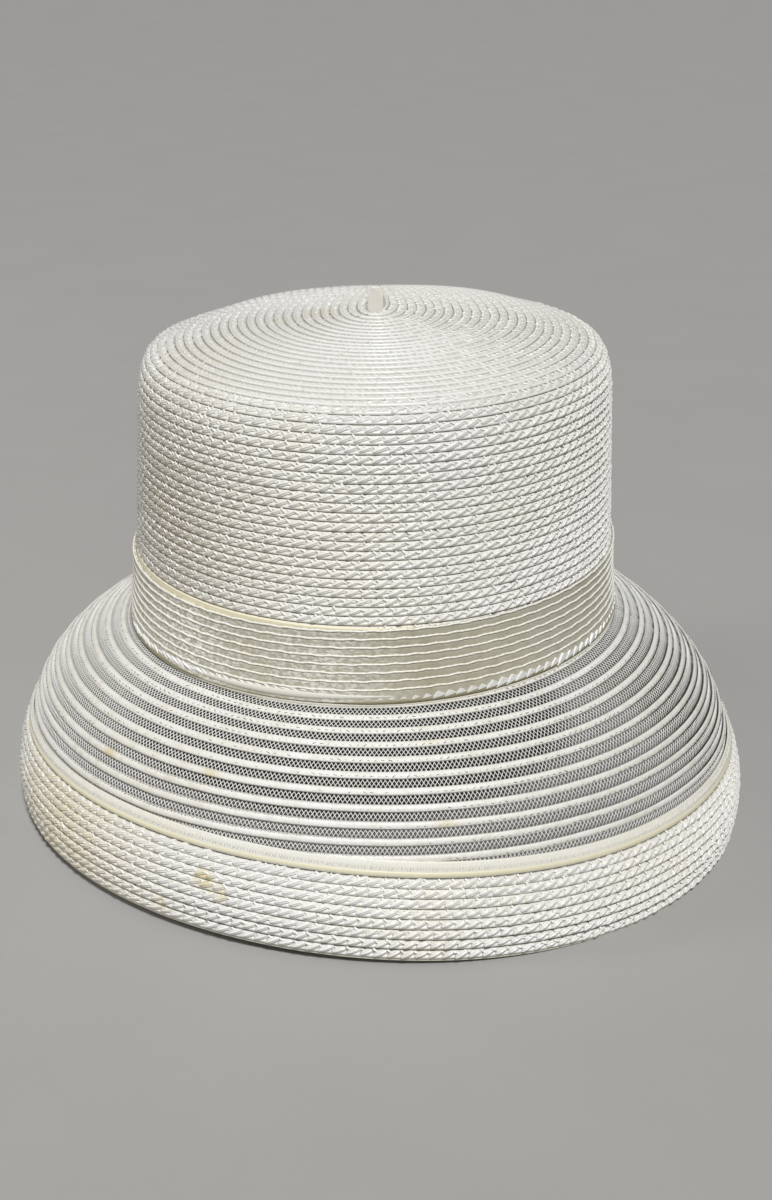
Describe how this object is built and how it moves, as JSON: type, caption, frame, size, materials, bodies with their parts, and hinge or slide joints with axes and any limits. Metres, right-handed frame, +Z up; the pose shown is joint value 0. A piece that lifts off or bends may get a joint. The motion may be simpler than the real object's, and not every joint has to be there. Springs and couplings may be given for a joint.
{
  "type": "church hat",
  "caption": "Tall-crowned dress hat of sewn braid with a ridged satin band and a bell-shaped net brim edged in braid, hollow and standing on its hem.",
  "frame": {"origin": "Middle of the hem's outline, on the surface that the hat stands on.", "axes": "+Z up along the crown, -Y to the front, +X to the hat's right as seen from the front."},
  "size_m": [0.2972, 0.2811, 0.2046],
  "materials": {
    "crown": "ivory satin rope braid",
    "band_backing": "pale yellow cotton tape",
    "hat_band": "olive beige satin with bright ridges",
    "brim_collar": "smooth cream braid",
    "brim": "cream net with opaque ridges",
    "border_heading": "smooth cream strip",
    "brim_border": "ivory satin rope braid"
  },
  "bodies": {
    "root": {"crown": "crown", "band_backing": "band_backing", "hat_band": "hat_band", "brim_collar": "brim_collar", "brim": "brim", "border_heading": "border_heading", "brim_border": "brim_border"}
  },
  "joints": []
}
